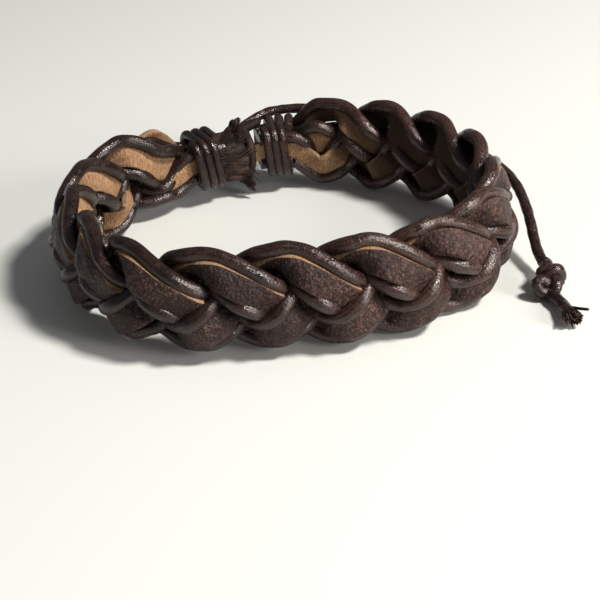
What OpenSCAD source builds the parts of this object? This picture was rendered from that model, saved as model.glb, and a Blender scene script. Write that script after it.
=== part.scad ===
// A braided leather bracelet, lying as a closed loop on a flat surface.
// Three strands are plaited flat, and each one is a leather strip between two round waxed cords.
// The ends of the braid are bound beside each other, and one cord leads on to a knot.
// Millimetres. The loop's hole runs along Z, its closure is at +Y and it rests at z = 0.

/* [Strands] */
// Diameter of the round cords in the braid
cord_d = 1.55; // [1.3:0.05:1.55]
// Width of the leather strips
strip_w = 3.0; // [2.5:0.1:3.0]
// Thickness of the leather strips
strip_t = 0.9; // [0.7:0.1:0.9]
// Gap between the strip and the two cords of one strand
strand_gap = 0.1; // [0.1:0.05:0.2]

/* [Loop seen from above] */
// Distance of the band's middle line from the loop's centre, a row of [angle, radius] each 30 degrees
outline = [
    [0, 32.8], [30, 28.5], [60, 26.0], [90, 25.2], [120, 24.8], [150, 27.3],
    [180, 30.5], [210, 32.2], [240, 34.0], [270, 31.5], [300, 33.9], [330, 35.1]
]; // [angle, radius]
// Angle of the binding at the braid's first end
first_wrap_angle = 88.5; // [87:0.5:90]
// Angle of the binding at the braid's last end
last_wrap_angle = 119.5; // [117:0.5:122]
// Angle of the first crest, where the plaiting starts
first_crest_angle = 63.5; // [60:0.5:65]
// Angle of the last crest, where the plaiting ends
last_crest_angle = 134; // [133:0.5:137]

/* [Plait] */
// Number of strand turns between the first and the last crest
plait_turns = 5; // [4:1:5]
// How far the stitches are pushed along the band, closer on one side and wider on the other
stitch_drift = 1.0; // [0:0.1:1.5]
// Height of the band's middle over the surface
band_middle = 8.2; // [8:0.1:9]
// Height of a cord over the band's middle: mean, then the waves that come once, twice and three times
cord_rise = [3.15, 4.3, 0.2, -0.1]; // [-5:0.05:5]
// Depth of a cord through the band: the waves that come once, twice, three and four times
cord_depth = [-0.65, 2.05, 0.1, 0.85]; // [-3:0.05:3]
// Height of a strip's middle: the waves that come once and three times
strip_rise = [4.55, -0.2]; // [-5:0.05:5]
// Depth of a strip's middle: the waves that come twice and four times
strip_depth = [2.4, -0.5]; // [-3:0.05:3]
// Turn of a strip about its length in degrees: the waves that come once, three and five times
strip_turn = [10, 48, -15]; // [-60:1:60]

/* [Bindings] */
// Diameter of the cord that is wound round the ends
wrap_cord_d = 1.5; // [1.2:0.1:1.5]
// Number of turns in a binding
wrap_turns = 3; // [2:1:3]
// Height of the bindings' middle over the surface
wrap_middle = 7.4; // [7:0.1:8]
// Distance between the three layers of strands inside a binding
layer_step = 2.2; // [2.1:0.1:2.4]
// Part of its width that a strip keeps where it is bound
bound_width = 0.84; // [0.8:0.02:1]
// Lean of the turns along the band for each millimetre of height, first and last binding
wrap_lean = [0.06, 0.12]; // [0:0.02:0.16]

/* [Pull cord] */
// Diameter of the pull cord
pull_cord_d = 1.5; // [1.2:0.1:1.5]
// Diameter of the cord where the knot squeezes it
knot_cord_d = 1.3; // [1:0.05:1.3]

/* [Hidden] */
leather_colour = [0.27, 0.17, 0.13];
cord_colour = [0.20, 0.13, 0.11];
tuft_colour = [0.16, 0.11, 0.09];
sides = 8;
rings = 92;
tiny = 0.2;
edge_len = 0.4;
radius_col = 1;

// The loop's middle line: its radius at an angle runs smoothly through the rows of the outline
rows = len(outline);
row_step = 360 / rows;
function row_radius(i) = outline[(i + rows) % rows][radius_col];
function smooth_through(a, b, c, d, t) =
    (2 * b + (c - a) * t + (2 * a - 5 * b + 4 * c - d) * t * t + (3 * b - a - 3 * c + d) * t * t * t) / 2;
function radius_at(angle) =
    let(turn = angle - 360 * floor(angle / 360), i = floor(turn / row_step), t = turn / row_step - i)
    smooth_through(row_radius(i - 1), row_radius(i), row_radius(i + 1), row_radius(i + 2), t);
function spot_at(angle) = radius_at(angle) * [cos(angle), sin(angle)];

// Distance along the loop, clockwise from the first binding, against the angle
loop_steps = 360;
function step_angle(i) = first_wrap_angle - i * 360 / loop_steps;
function step_len(i) = norm(spot_at(step_angle(i)) - spot_at(step_angle(i - 1)));
way = [for (i = 0, far = 0; i <= loop_steps; i = i + 1, far = far + step_len(i)) [far, step_angle(i)]];
far_col = [for (row = way) [-row[1], row[0]]];
loop_len = way[loop_steps][0];
function angle_after(far) = lookup(far - loop_len * floor(far / loop_len), way);
function far_to(angle) = lookup(angle > first_wrap_angle ? 360 - angle : -angle, far_col);
function middle_at(far) = spot_at(angle_after(far));
function unit(v) = v / norm(v);
function onward(far) = unit(middle_at(far + 0.8) - middle_at(far - 0.8));
function outward(far) = [-onward(far)[1], onward(far)[0]];

// A point is given as [distance along the loop, height, depth], with depth counted outward
function placed(p) = let(m = middle_at(p[0]) + p[2] * outward(p[0])) [m[0], m[1], p[1]];

// The plaiting starts a twelfth of a turn before the first crest and eases in and out
drift_far = 30;
function drifted(far) = far + stitch_drift * cos(360 * (far - drift_far) / loop_len);
last_wrap_far = far_to(last_wrap_angle);
turn_len = (drifted(far_to(last_crest_angle)) - drifted(far_to(first_crest_angle))) / plait_turns;
plait_start = drifted(far_to(first_crest_angle)) - turn_len / 12;
plait_end = drifted(far_to(last_crest_angle)) - turn_len / 12;
plait_len = plait_end - plait_start;
ease = 1.5;
bound_half = 2.6;
function softly(x) = x < -ease ? 0 : x > ease ? x : pow(x + ease, 2) / (4 * ease);
function turned(far) =
    60 + 360 / turn_len * (plait_len - softly(plait_len - softly(drifted(far) - plait_start)));
function clamped(x) = min(1, max(0, x));
function eased(x) = let(t = clamped(x)) t * t * (3 - 2 * t);
wrap_out = drifted(bound_half);
wrap_in = drifted(last_wrap_far - bound_half);
// How free the strands are: 0 inside a binding and 1 in the plait
function freedom(far) =
    eased((drifted(far) - wrap_out) / (plait_start - ease / 2 - wrap_out))
    * eased((wrap_in - drifted(far)) / (wrap_in - plait_end - ease / 2));

// The courses of the strips and cords through the plait, at an angle of their turn
function cord_high(v) =
    cord_rise[0] + cord_rise[1] * sin(v) + cord_rise[2] * cos(2 * v) + cord_rise[3] * sin(3 * v);
function cord_deep(v) =
    cord_depth[0] * cos(v) + cord_depth[1] * sin(2 * v) + cord_depth[2] * cos(3 * v)
    + cord_depth[3] * sin(4 * v);
function strip_high(v) = strip_rise[0] * sin(v) + strip_rise[1] * sin(3 * v);
function strip_deep(v) = strip_depth[0] * sin(2 * v) + strip_depth[1] * sin(4 * v);
function strip_roll(v) =
    strip_turn[0] * cos(v) + strip_turn[1] * cos(3 * v) + strip_turn[2] * cos(5 * v);

// Strands 0, 1 and 2 lie outside, in the middle and inside where they are bound
function strand_turn(strand, far) = turned(far) + 120 * strand;
function layer(strand) = (1 - strand) * layer_step;
function strip_height(strand, far) = strip_high(strand_turn(strand, far)) * freedom(far);
function strip_layer(strand, far) =
    let(free = sqrt(freedom(far)))
    strip_deep(strand_turn(strand, far)) * free + layer(strand) * (1 - free);
function climb(strand, far) =
    let(rise = (strip_height(strand, far + tiny) - strip_height(strand, far - tiny)) / (2 * tiny))
    unit([1, rise]);
function middle_height(far) = wrap_middle + (band_middle - wrap_middle) * freedom(far);
function width_kept(far) = bound_width + (1 - bound_width) * freedom(far);

// A point of a strip at a distance off its middle line across its width
function strip_point(strand, far, off) =
    let(
        roll = strip_roll(strand_turn(strand, far)) * pow(freedom(far), 4),
        c = climb(strand, far), across = off * cos(roll)
    )
    placed([
        far - c[1] * across,
        middle_height(far) + strip_height(strand, far) + across * c[0],
        strip_layer(strand, far) + off * sin(roll)
    ]);

// A point of a strand's upper cord, for side 1, or of its lower cord, for side -1
function cord_point(strand, side, far) =
    let(
        free = freedom(far), v = strand_turn(strand, far), w = side > 0 ? v : v + 180,
        c = climb(strand, far),
        off = side * (strip_w * width_kept(far) / 2 + strand_gap + cord_d / 2)
    )
    placed([
        far - (1 - free) * c[1] * off,
        middle_height(far) + strip_height(strand, far)
            + free * (side * cord_high(w) - strip_high(v)) + (1 - free) * off * c[0],
        strip_layer(strand, far) + free * (cord_deep(w) - strip_deep(v))
    ]);

// Rings joined to a closed skin, each ring a list of the same number of points
module skin(loops) {
    count = len(loops[0]);
    last = len(loops) - 1;
    points = [for (loop = loops) each loop];
    walls = [
        for (i = [0 : last - 1]) for (j = [0 : count - 1])
            let(a = i * count + j, b = i * count + (j + 1) % count)
            each [[b + count, b, a], [a + count, b + count, a]]
    ];
    caps = [[for (j = [0 : count - 1]) j], [for (j = [0 : count - 1]) last * count + count - 1 - j]];
    polyhedron(points = points, faces = concat(walls, caps), convexity = 10);
}

// The direction of a line of points at one of them
function heading(line, i) = unit(line[min(i + 1, len(line) - 1)] - line[max(i - 1, 0)]);
function round_ring(centre, ahead, aside, radius, count) =
    let(x = unit(aside - (aside * ahead) * ahead), y = cross(ahead, x))
    [for (j = [0 : count - 1]) centre + radius * (cos(360 * j / count) * x + sin(360 * j / count) * y)];

// A round tube along a line of points, with a list of sideways directions and a list of radii
module tube(line, asides, radii, count = sides) {
    skin([for (i = [0 : len(line) - 1]) round_ring(line[i], heading(line, i), asides[i], radii[i], count)]);
}

// The strands of both ends reach a little way out of the bindings
first_end = -3.6;
last_end = last_wrap_far + 3.2;
function ring_far(i) = first_end + (last_end - first_end) * i / rings;
function level(v) = [v[0], v[1], 0];

module cord(strand, side) {
    line = [for (i = [0 : rings]) cord_point(strand, side, ring_far(i))];
    asides = [for (i = [0 : rings]) level(outward(ring_far(i)))];
    color(cord_colour) tube(line, asides, [for (i = line) cord_d / 2]);
}

module leather_strip(strand) {
    middles = [for (i = [0 : rings]) strip_point(strand, ring_far(i), 0)];
    color(leather_colour) skin([
        for (i = [0 : rings])
            let(
                half = strip_w * width_kept(ring_far(i)) / 2,
                high = strip_point(strand, ring_far(i), half),
                low = strip_point(strand, ring_far(i), -half),
                face = strip_t / 2 * unit(cross(heading(middles, i), high - low)),
                edge = edge_len * unit(high - low)
            )
            [high, high - edge + face, low + edge + face, low, low + edge - face, high - edge - face]
    ]);
}

// A binding winds round a rectangle with round corners that holds the three layers of strands
wrap_pitch = wrap_cord_d + 0.05;
corner_points = 4;
wrap_gap = 0.2;
corner_out = cord_d / 2 + wrap_gap + wrap_cord_d / 2;
corner_high = strip_w * bound_width / 2 + strand_gap + cord_d / 2;
turn_points = 4 * corner_points;
// The corners in their order, as signs of [height, depth]: up inside, down inside, down outside, up outside
corners = [[1, -1], [-1, -1], [-1, 1], [1, 1]];
function wrap_point(wrap_far, lean, i) =
    let(
        corner = corners[floor(i / corner_points) % 4],
        a = 90 * floor(i / corner_points) + 90 * (i % corner_points) / (corner_points - 1),
        high = corner[0] * corner_high + corner_out * cos(a),
        deep = corner[1] * layer_step - corner_out * sin(a)
    )
    [
        wrap_far + wrap_pitch * (i / turn_points - wrap_turns / 2) - lean * high,
        wrap_middle + high,
        deep
    ];
module wrap(wrap_far, lean) {
    spots = [for (i = [0 : wrap_turns * turn_points]) wrap_point(wrap_far, lean, i)];
    line = [for (p = spots) placed(p)];
    asides = [for (p = spots) line_away(p, wrap_far)];
    color(cord_colour) tube(line, asides, [for (p = spots) wrap_cord_d / 2]);
}
function line_away(p, wrap_far) =
    let(out = outward(wrap_far)) [out[0] * p[2], out[1] * p[2], p[1] - wrap_middle];

// The cut ends beyond the last binding: a head with [along, half height, half depth] in each row, and locks
tuft_far = last_wrap_far + 3.4;
head_rows = [[0, 2.8, 2.3], [1.2, 3.1, 2.5], [2.6, 2.6, 2.2], [3.4, 1.4, 1.2]];
head_height = 7.2;
head_depth = -0.9;
head_sides = 8;
// Each lock runs from one [along, height, depth] to another, and has a first and a last width
locks = [
    [[0.6, 9.0, -0.6], [5.4, 13.4, 0.0], 2.2, 1.1],
    [[0.6, 8.8, -2.0], [5.0, 11.8, -3.0], 2.2, 1.4],
    [[0.6, 7.4, -2.2], [5.6, 8.9, -3.3], 2.2, 1.6],
    [[0.6, 7.6, -0.4], [5.4, 10.2, -0.9], 2.4, 1.8],
    [[0.6, 6.6, -1.2], [5.9, 6.7, -2.0], 2.4, 1.9],
    [[0.6, 5.6, -2.0], [5.7, 4.6, -3.0], 2.2, 1.6],
    [[0.6, 5.4, -0.6], [5.5, 3.2, -0.6], 2.2, 1.5],
    [[0.6, 6.8, 0.6], [5.2, 7.3, 1.4], 2.0, 1.5],
    [[0.6, 5.4, 0.6], [5.2, 4.9, 1.7], 2.0, 1.4]
];
lock_sides = 5;
function tuft_spot(p) = placed([tuft_far + p[0], p[1], p[2]]);
module cut_ends_form() {
    color(tuft_colour) union() {
        skin([
            for (row = head_rows)
                [
                    for (j = [0 : head_sides - 1])
                        let(a = 360 * j / head_sides)
                        tuft_spot([row[0], head_height + row[1] * sin(a), head_depth + row[2] * cos(a)])
                ]
        ]);
        for (lock = locks) {
            line = [tuft_spot(lock[0]), tuft_spot(lock[1])];
            tube(line, [[0, 0, 1], [0, 0, 1]], [lock[2] / 2, lock[3] / 2], lock_sides);
        }
    }
}

// The pull cord leaves the last binding, passes outside the first one and the band, and comes down
// to the surface. Its route is in the whole bracelet's own frame.
pull_route = [
    [-11.1, 27.6, 9.6], [-9.5, 28.3, 9.7], [-7, 29.8, 10.2], [-4.6, 31.6, 11], [-2, 32.9, 11.6],
    [1, 33.2, 11.8], [4, 33, 11.8], [7.6, 32.2, 11.6], [11, 31.1, 11.3], [14.4, 29.7, 10.9],
    [17.8, 27.9, 10.5], [21, 25.8, 10.2], [24, 23.3, 9.8], [26.8, 20.6, 9.5], [29.3, 17.7, 9.2],
    [31.7, 14.4, 8.8], [33.8, 10.7, 8.4], [35.4, 6.8, 7.9], [36.3, 2.7, 7.2], [36.7, -1.4, 6.1],
    [36.8, -5, 4.9], [36.8, -8, 3.6], [36.9, -10.6, 2.7], [37.2, -12.8, 2.2]
];
// The overhand knot lies flat: three lobes round its middle, cut open where the cord comes in and goes out
knot_middle = [37.2, -17.8, 1.42];
knot_radius = 1.6;
knot_wave = 0.75;
knot_turn = 20;
function knot_point(t) =
    let(r = knot_radius + knot_wave * cos(3 * t), a = 2 * t + knot_turn)
    knot_middle + [r * cos(a), r * sin(a), knot_wave * sin(3 * t)];
knot_line = [for (t = [30 : 15 : 330]) knot_point(t)];
knot_entry = [[37.9, -14.1, 2.2], [38.3, -15.3, 2.2]];
// The tail turns back from the knot and frays out where it lies on the surface
tail_line = [
    [39.5, -18.9, 0.67], [40.3, -19.4, 0.68], [40.5, -20.4, 0.68], [40.1, -21.5, 0.7],
    [39.4, -23, 0.72], [38.8, -24.9, 0.75], [38.6, -27, 0.95], [38.8, -29.4, 1.3]
];
tail_radii = [0.65, 0.65, 0.66, 0.68, 0.7, 0.72, 0.9, 1.25];
cord_line = concat(pull_route, knot_entry, knot_line, tail_line);
cord_radii = concat(
    [for (p = pull_route) pull_cord_d / 2],
    [for (p = concat(knot_entry, knot_line)) knot_cord_d / 2],
    tail_radii
);
route_end = len(pull_route) - 1;
module cord_stretch(from, to) {
    skin([
        for (i = [from : to])
            round_ring(cord_line[i], heading(cord_line, i), [0, 0, 1], cord_radii[i], sides)
    ]);
}
module pull_cord() { color(cord_colour) cord_stretch(0, route_end); }
module pull_knot() { color(cord_colour) cord_stretch(route_end, len(cord_line) - 1); }

// Everything is moved so that the loop's box is centred on the origin and stands on z = 0
loop_spots = concat(
    [for (k = [0 : 2]) for (side = [-1, 1]) for (i = [0 : rings]) cord_point(k, side, ring_far(i))],
    [for (i = [0 : turn_points]) placed(wrap_point(0, wrap_lean[0], i))]
);
function column(list, c) = [for (row = list) row[c]];
lows = [for (c = [0 : 2]) min(column(loop_spots, c))];
highs = [for (c = [0 : 2]) max(column(loop_spots, c))];
loop_shift = [-(lows[0] + highs[0]) / 2, -(lows[1] + highs[1]) / 2, cord_d / 2 - lows[2]];

module leather_strip_1() { translate(loop_shift) leather_strip(0); }
module leather_strip_2() { translate(loop_shift) leather_strip(1); }
module leather_strip_3() { translate(loop_shift) leather_strip(2); }
module upper_cord_1() { translate(loop_shift) cord(0, 1); }
module upper_cord_2() { translate(loop_shift) cord(1, 1); }
module upper_cord_3() { translate(loop_shift) cord(2, 1); }
module lower_cord_1() { translate(loop_shift) cord(0, -1); }
module lower_cord_2() { translate(loop_shift) cord(1, -1); }
module lower_cord_3() { translate(loop_shift) cord(2, -1); }
module right_wrap() { translate(loop_shift) wrap(0, wrap_lean[0]); }
module left_wrap() { translate(loop_shift) wrap(last_wrap_far, wrap_lean[1]); }
module cut_ends() { translate(loop_shift) cut_ends_form(); }

leather_strip_1();
leather_strip_2();
leather_strip_3();
upper_cord_1();
upper_cord_2();
upper_cord_3();
lower_cord_1();
lower_cord_2();
lower_cord_3();
right_wrap();
left_wrap();
cut_ends();
pull_cord();
pull_knot();
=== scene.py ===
# A braided leather bracelet: three strands, each a leather strip between two waxed cords.
# The lengths in the tables are millimetres. Those of the band, the bindings and the frayed ends are measured
# along, over and across the band's middle line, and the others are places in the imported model's frame.
import math

import bpy
import numpy as np
from mathutils import Matrix, Vector


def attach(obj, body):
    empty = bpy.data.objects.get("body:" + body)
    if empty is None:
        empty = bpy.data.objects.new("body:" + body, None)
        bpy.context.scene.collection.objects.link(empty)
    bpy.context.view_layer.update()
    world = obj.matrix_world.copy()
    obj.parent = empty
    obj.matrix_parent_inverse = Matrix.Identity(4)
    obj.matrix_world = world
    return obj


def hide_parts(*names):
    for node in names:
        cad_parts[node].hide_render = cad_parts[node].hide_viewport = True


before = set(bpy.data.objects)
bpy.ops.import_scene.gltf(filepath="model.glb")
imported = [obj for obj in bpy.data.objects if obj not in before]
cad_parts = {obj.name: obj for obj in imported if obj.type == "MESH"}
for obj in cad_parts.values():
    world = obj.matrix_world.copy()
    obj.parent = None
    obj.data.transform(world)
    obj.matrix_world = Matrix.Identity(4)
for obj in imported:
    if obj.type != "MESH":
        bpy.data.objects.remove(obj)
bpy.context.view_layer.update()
mm = 0.001
upward = (0.0, 0.0, 1.0)

# Camera at the photograph's angle
camera = {
    "spot": (1.03, -189.3, 94.66),
    "pitch": 28.5,  # degrees below the horizon
    "roll": 4.31,  # the right side of the picture stands higher
    "lens": 81,
    "sensor": 36,
    "clip": (0.01, 20),  # metres
}


def makeCamera():
    data = bpy.data.cameras.new("viewCamera")
    data.lens, data.sensor_width = camera["lens"], camera["sensor"]
    data.clip_start, data.clip_end = camera["clip"]
    down, roll = math.radians(camera["pitch"]), math.radians(camera["roll"])
    right = Vector((1, 0, 0))
    up = Vector((0, math.sin(down), math.cos(down)))
    ahead = Vector((0, math.cos(down), -math.sin(down)))
    turnedRight = right * math.cos(roll) - up * math.sin(roll)
    turnedUp = right * math.sin(roll) + up * math.cos(roll)
    axes = Matrix((turnedRight, turnedUp, -ahead)).transposed().to_4x4()
    made = bpy.data.objects.new("viewCamera", data)
    bpy.context.scene.collection.objects.link(made)
    made.matrix_world = Matrix.Translation(Vector(camera["spot"]) * mm) @ axes
    bpy.context.scene.camera = made


makeCamera()

# Helpers for material nodes

def joined(tree, value, socket):
    if hasattr(value, "is_output"):
        tree.links.new(value, socket)
    elif value is not None:
        socket.default_value = value


def mathOf(tree, kind, a, b=None):
    node = tree.nodes.new("ShaderNodeMath")
    node.operation = kind
    for value, socket in zip((a, b), node.inputs):
        joined(tree, value, socket)
    return node.outputs[0]


def plus(tree, a, b):
    return mathOf(tree, "ADD", a, b)


def times(tree, a, b):
    return mathOf(tree, "MULTIPLY", a, b)


def summed(tree, first, *others):
    # Heights added up, each given with its share
    total = times(tree, *first)
    for row in others:
        total = plus(tree, total, times(tree, *row))
    return total


def rangeOf(tree, value, low, high, toLow=0.0, toHigh=1.0):
    node = tree.nodes.new("ShaderNodeMapRange")
    node.interpolation_type = "SMOOTHSTEP"
    for name, given in zip(node.inputs.keys()[:5], (value, low, high, toLow, toHigh)):
        joined(tree, given, node.inputs[name])
    return node.outputs[0]


def mixOf(tree, share, a, b):
    node = tree.nodes.new("ShaderNodeMix")
    node.data_type = "RGBA"
    for value, index in ((share, 0), (a, 6), (b, 7)):  # the node's sockets for colours
        joined(tree, value, node.inputs[index])
    return node.outputs[2]


def noiseOf(tree, vector, scale, detail, roughness, stretch=None):
    if stretch:
        mapping = tree.nodes.new("ShaderNodeMapping")
        mapping.inputs["Scale"].default_value = stretch
        tree.links.new(vector, mapping.inputs["Vector"])
        vector = mapping.outputs[0]
    node = tree.nodes.new("ShaderNodeTexNoise")
    joined(tree, scale, node.inputs["Scale"])
    node.inputs["Detail"].default_value = detail
    node.inputs["Roughness"].default_value = roughness
    tree.links.new(vector, node.inputs["Vector"])
    return node.outputs["Fac"]


def cellsOf(tree, vector, scale):
    node = tree.nodes.new("ShaderNodeTexVoronoi")
    node.inputs["Scale"].default_value = scale
    tree.links.new(vector, node.inputs["Vector"])
    return node.outputs["Distance"]


def attributeOf(tree, name):
    node = tree.nodes.new("ShaderNodeAttribute")
    node.attribute_name = name
    return node.outputs["Vector"]


def placeOf(tree):
    return tree.nodes.new("ShaderNodeTexCoord").outputs["Object"]


def partsOf(tree, vector):
    node = tree.nodes.new("ShaderNodeSeparateXYZ")
    tree.links.new(vector, node.inputs[0])
    return node.outputs


def rightwards(tree, place, reach, share=1.0):
    # Grows from nothing to a share between two places from left to right
    low, high = reach
    return rangeOf(tree, partsOf(tree, place)[0], low * mm, high * mm, 0.0, share)


def newGroup(name, inputs, outputs):
    group = bpy.data.node_groups.new(name, "ShaderNodeTree")
    for way, sockets in (("INPUT", inputs), ("OUTPUT", outputs)):
        for label, kind in sockets.items():
            group.interface.new_socket(label, in_out=way, socket_type="NodeSocket" + kind)
    given, out = group.nodes.new("NodeGroupInput"), group.nodes.new("NodeGroupOutput")
    return group, given.outputs, out.inputs


def placed(tree, group, **values):
    node = tree.nodes.new("ShaderNodeGroup")
    node.node_tree = group
    for name, value in values.items():
        joined(tree, value, node.inputs[name])
    return node.outputs


# Effects that several materials share. A noise is given by its scale, detail, roughness and stretch
weaveLook = {
    "wobbleNoise": (0.9, 3.0, 0.6),
    "wobble": 7.0,  # radians that the weave wanders
    "creaseNoise": (2.1, 4.0, 0.62, (1.5, 1.5, 0.55)),
    "fineNoise": (6.5, 3.0, 0.6, (1, 1, 0.5)),
    "waxNoise": (1.3, 3.0, 0.6),
    "weaveHeight": 0.22,
    "creaseHeight": 1.5,
    "fineHeight": 0.45,
    # heights over which the weave's grooves take painted shade
    "grooveShadeRange": (0.72, 1.05),
    "waxRange": (0.38, 0.66),
}
patchLook = {"detail": 4.0, "roughness": 0.6, "range": (0.36, 0.66)}


def makeWeaveGroup(look):
    # A waxed plaited cord: a worn-down weave with creases and dull patches in the wax
    group, given, out = newGroup(
        "cordWeave",
        {"straight": "Vector", "around": "Float", "length": "Float", "worn": "Float"},
        {"height": "Float", "grooveShade": "Float", "wax": "Float"},
    )
    straight, parts = given["straight"], partsOf(group, given["straight"])
    turns = times(group, mathOf(group, "ARCTAN2", parts[1], parts[0]), given["around"])
    wobble = times(group, noiseOf(group, straight, *look["wobbleNoise"]), look["wobble"])
    run = mathOf(group, "DIVIDE", times(group, parts[2], math.pi * 2), given["length"])
    run = plus(group, run, wobble)
    one = mathOf(group, "SINE", plus(group, turns, run))
    two = mathOf(group, "SINE", mathOf(group, "SUBTRACT", turns, run))
    weave = times(group, times(group, one, two), given["worn"])
    creases, fine, wax = (
        noiseOf(group, straight, *look[name]) for name in ("creaseNoise", "fineNoise", "waxNoise")
    )
    height = summed(
        group,
        (weave, look["weaveHeight"]),
        (creases, look["creaseHeight"]),
        (fine, look["fineHeight"]),
    )
    group.links.new(height, out["height"])
    # painted shade: a mask that darkens the low parts of the weave
    group.links.new(rangeOf(group, height, *look["grooveShadeRange"], 1.0, 0.0), out["grooveShade"])
    group.links.new(rangeOf(group, wax, *look["waxRange"]), out["wax"])
    return group


def makePatchGroup(look):
    # Broad patches of a lighter and a darker tone over the piece, in its own place
    group, given, out = newGroup("tonePatches", {"place": "Vector", "scale": "Float"}, {"share": "Float"})
    broad = noiseOf(group, given["place"], given["scale"], look["detail"], look["roughness"])
    group.links.new(rangeOf(group, broad, *look["range"]), out["share"])
    return group


weaveGroup, patchGroup = makeWeaveGroup(weaveLook), makePatchGroup(patchLook)


def newMaterial(name):
    material = bpy.data.materials.new(name)
    material.use_nodes = True
    tree = material.node_tree
    return material, tree, tree.nodes["Principled BSDF"]


def bumpInto(tree, shader, height, distance):
    bump = tree.nodes.new("ShaderNodeBump")
    bump.inputs["Strength"].default_value = 1.0
    bump.inputs["Distance"].default_value = distance
    tree.links.new(height, bump.inputs["Height"])
    tree.links.new(bump.outputs[0], shader.inputs["Normal"])


def makeCordMaterial(name, look):
    material, tree, shader = newMaterial(name)
    straight, place = attributeOf(tree, "straight"), placeOf(tree)
    woven = {"around": look["around"], "length": look["length"], "worn": look["weave"]}
    weave = placed(tree, weaveGroup, straight=straight, **woven)
    patches = placed(tree, patchGroup, place=place, scale=look["patches"])
    colour = mixOf(tree, patches["share"], look["dark"], look["light"])
    # painted light: the cord is lighter towards the right, where the light falls
    paintedRightLight = rightwards(tree, place, paintedRightLightReach, look["paintedRightLightShare"])
    colour = mixOf(tree, paintedRightLight, colour, look["paintedRightLight"])
    # painted shade in the weave's grooves
    colour = mixOf(tree, times(tree, weave["grooveShade"], look["grooveShadeShare"]), colour, look["grooveShade"])
    tree.links.new(colour, shader.inputs["Base Color"])
    rough = rangeOf(tree, weave["wax"], 0.0, 1.0, look["dull"], look["rough"])
    tree.links.new(rough, shader.inputs["Roughness"])
    shader.inputs["Specular IOR Level"].default_value = look["gloss"]
    bumpInto(tree, shader, weave["height"], look["relief"] * mm)
    return material


paintedRightLightReach = (-22, 30)  # from left to right, where the pieces get painted light, lighter towards the side the light falls on
cordLook = {
    "dark": (0.022, 0.0105, 0.0085, 1),
    "light": (0.054, 0.027, 0.0210, 1),
    # the painted shade colour in the grooves
    "grooveShade": (0.009, 0.0050, 0.0045, 1),
    "grooveShadeShare": 0.85,
    # the colour of the painted light towards the right
    "paintedRightLight": (0.115, 0.058, 0.046, 1),
    "paintedRightLightShare": 0.55,
    "patches": 240.0,
    "around": 6.0,
    "length": 0.9,
    "weave": 0.8,
    "rough": 0.10,
    "dull": 0.31,
    "gloss": 0.68,
    "relief": 0.075,
}
cordMaterial = makeCordMaterial("waxedCord", cordLook)
# the pull cord gets less of the painted light from the right
pullCordMaterial = makeCordMaterial("waxedPullCord", dict(cordLook, paintedRightLightShare=0.2))

leatherLook = {
    "dark": (0.023, 0.0100, 0.0080, 1),
    "light": (0.086, 0.043, 0.0335, 1),
    "paintedLightReddish": (0.165, 0.074, 0.059, 1),  # painted light: lighter and redder towards the right, where the light falls
    # painted glints on the grain
    "paintedGlint": (0.28, 0.19, 0.155, 1),
    "worn": (0.15, 0.085, 0.060, 1),
    "edge": (0.42, 0.27, 0.165, 1),
    "suede": (0.50, 0.315, 0.185, 1),
    "suedeDark": (0.23, 0.125, 0.068, 1),
    "paintedLightCutEnd": (0.80, 0.52, 0.31, 1),  # painted light on the suede by the cut end, standing in for light where the binding casts shade
    "stainedAndShadedSuede": (0.060, 0.036, 0.024, 1),  # darker suede towards the right: partly dye that shows through, partly painted shade on the shaded inner face
    "rough": 0.26,
    "dull": 0.46,
    "suedeRough": 0.9,
    "gloss": 0.45,
    "relief": 0.2,
    "cells": 1700.0,  # pebbles to a metre
    "patches": 180.0,
    "suedePatches": 420.0,
    "fineNoise": (3900, 3.0, 0.65),
    "creaseNoise": (1.5, 4.0, 0.65, (0.7, 1, 2.2)),
    "napNoise": (1.8, 5.0, 0.7, (0.6, 1, 2.4)),
    "raggedNoise": (2.5, 3.0, 0.55),
    "raggedDepth": 0.3,
    "grainDepth": (0.20, 0.30),  # depths where the raw edge turns into the grain side
    "suedeDepth": (-0.34, -0.46),  # and into the suede side
    "pebbleHeight": 0.7,
    "fineHeight": 0.7,
    "creaseHeight": 1.1,
    "napHeight": 1.6,
    # painted light from the right, broken up by random patches
    "paintedRightLightPatches": (0.35, 1.0),
    "paintedRightLightShare": 0.7,
    "pitShade": (1.5, 1.15),  # heights of the grain, with painted shade in the pits below
    "pitShadeShare": 0.85,
    # where the painted glints show, over the fine noise and the patches
    "paintedGlints": (0.54, 0.68),
    "paintedGlintPatches": (0.25, 0.65),
    "rim": (1.45, 1.9),  # distance off the strip's middle
    "rimCreases": (0.4, 0.65),
    "rimShare": 0.55,
    "wornCreases": (0.35, 0.65),
    "suedeNap": (0.36, 0.57),
    "suedePatchShare": 0.3,
    "stainedAndShadedSuedeReach": (7.0, 19.0),  # from left to right, where the suede darkens with dye and painted shade
    "stainedAndShadedSuedeShare": 0.9,
    "paintedLightCutEndReach": (3.2, 2.2),  # along the strip, where the painted light by the cut end fades
    "edgeNap": (0.3, 0.55),
}


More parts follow.
